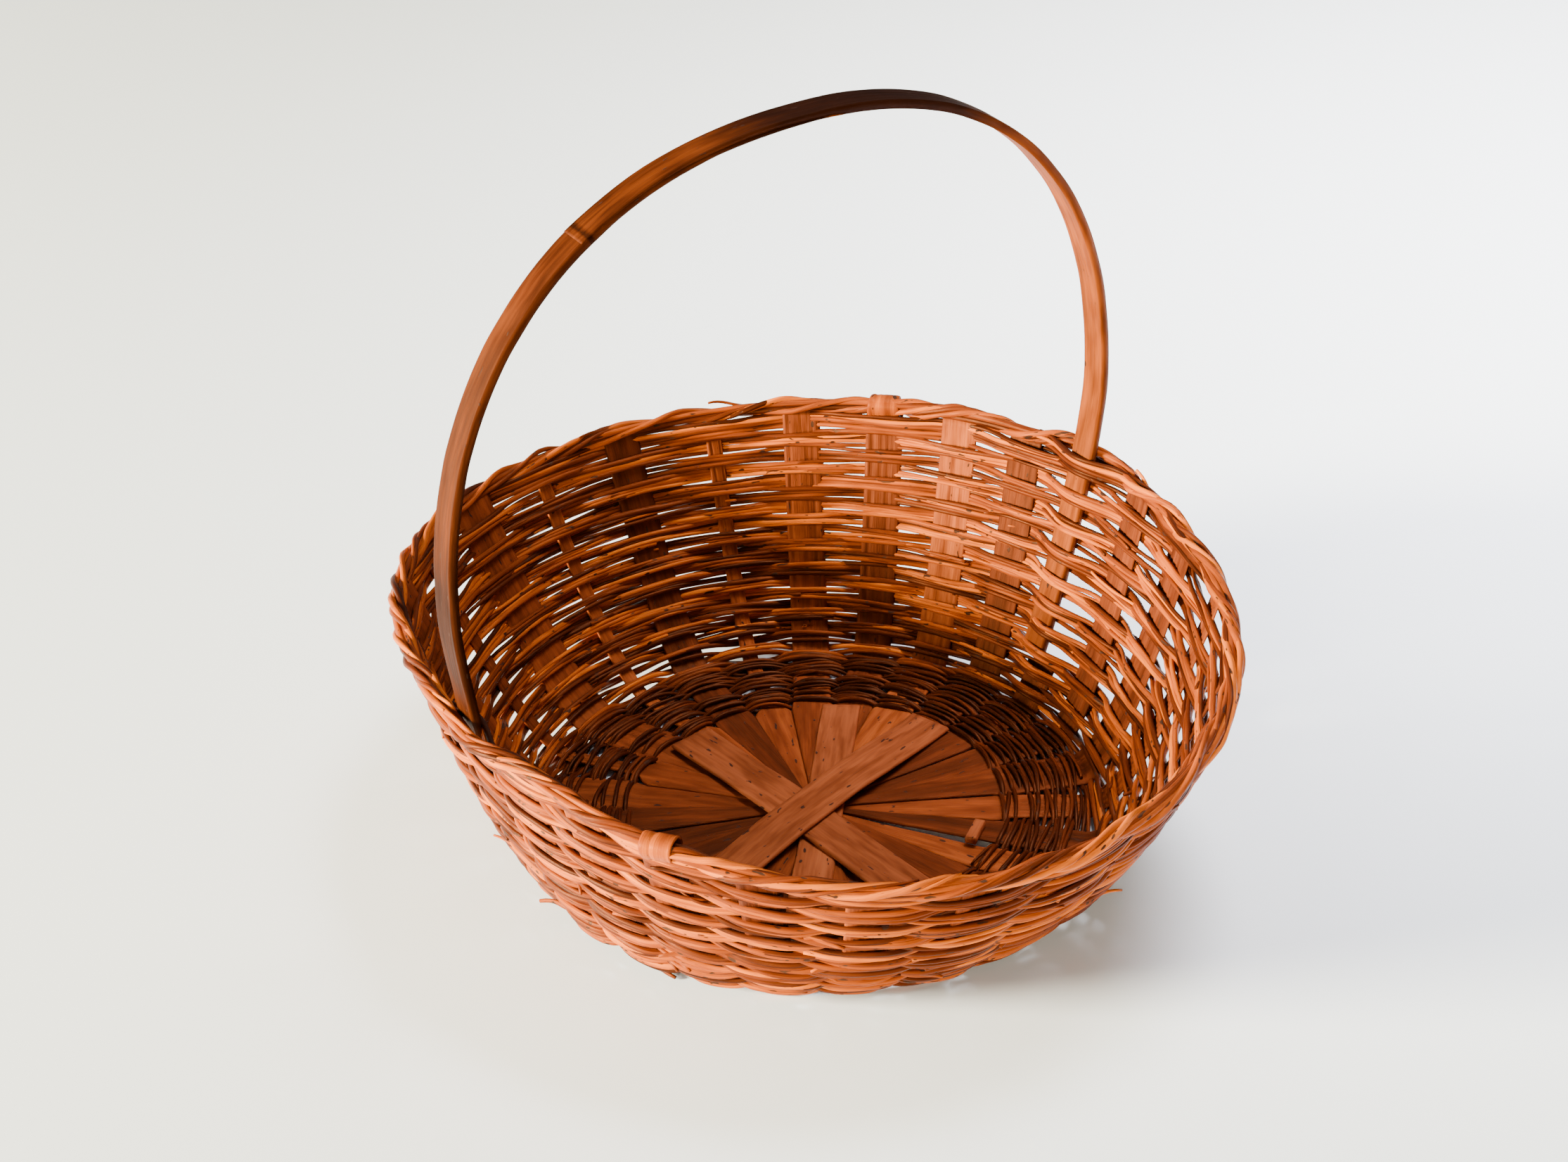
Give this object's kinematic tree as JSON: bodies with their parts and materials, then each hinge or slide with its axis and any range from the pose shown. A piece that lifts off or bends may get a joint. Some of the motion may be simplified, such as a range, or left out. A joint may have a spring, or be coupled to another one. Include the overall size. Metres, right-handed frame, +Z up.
{
  "type": "woven basket",
  "caption": "Round hand-woven wicker basket with flared open wall, spoked splint base, twisted rim and one tall fixed bentwood arch handle.",
  "frame": {"origin": "on the floor under the middle of the base", "axes": "+Z up, +X along the handle's span towards the foot where the rim stands highest, +Y across the handle"},
  "size_m": [0.38, 0.4478, 0.3774],
  "materials": {
    "splint": "satin, aged split wood",
    "rod": "satin, peeled willow rods",
    "bentwood": "worn polish, bent strip"
  },
  "bodies": {
    "root": {"stake_01": "splint", "stake_02": "splint", "stake_03": "splint", "stake_04": "splint", "stake_05": "splint", "stake_06": "splint", "stake_07": "splint", "stake_08": "splint", "stake_09": "splint", "stake_10": "splint", "stake_11": "splint", "stake_12": "splint", "stake_13": "splint", "stake_14": "splint", "stake_15": "splint", "stake_16": "splint", "stake_17": "splint", "stake_18": "splint", "stake_19": "splint", "stake_20": "splint", "stake_21": "splint", "stake_22": "splint", "stake_23": "splint", "stake_24": "splint", "stake_25": "splint", "stake_26": "splint", "stake_27": "splint", "base_brace_narrow": "splint", "base_brace_lower": "splint", "base_brace_upper": "splint", "base_cleat": "splint", "weave_course_01": "rod", "weave_course_02": "rod", "weave_course_03": "rod", "weave_course_04": "rod", "weave_course_05": "rod", "weave_course_06": "rod", "weave_course_07": "rod", "weave_course_08": "rod", "weave_course_09": "rod", "weave_course_10": "rod", "weave_course_11": "rod", "weave_course_12": "rod", "weave_course_13": "rod", "weave_course_14": "rod", "weave_course_15": "rod", "weave_course_16": "rod", "weave_course_17": "rod", "weave_course_18": "rod", "weave_course_19": "rod", "weave_course_20": "rod", "base_weave": "rod", "border_strand_a": "rod", "border_strand_b": "rod", "handle_length_right": "bentwood", "handle_length_left": "bentwood"}
  },
  "joints": []
}
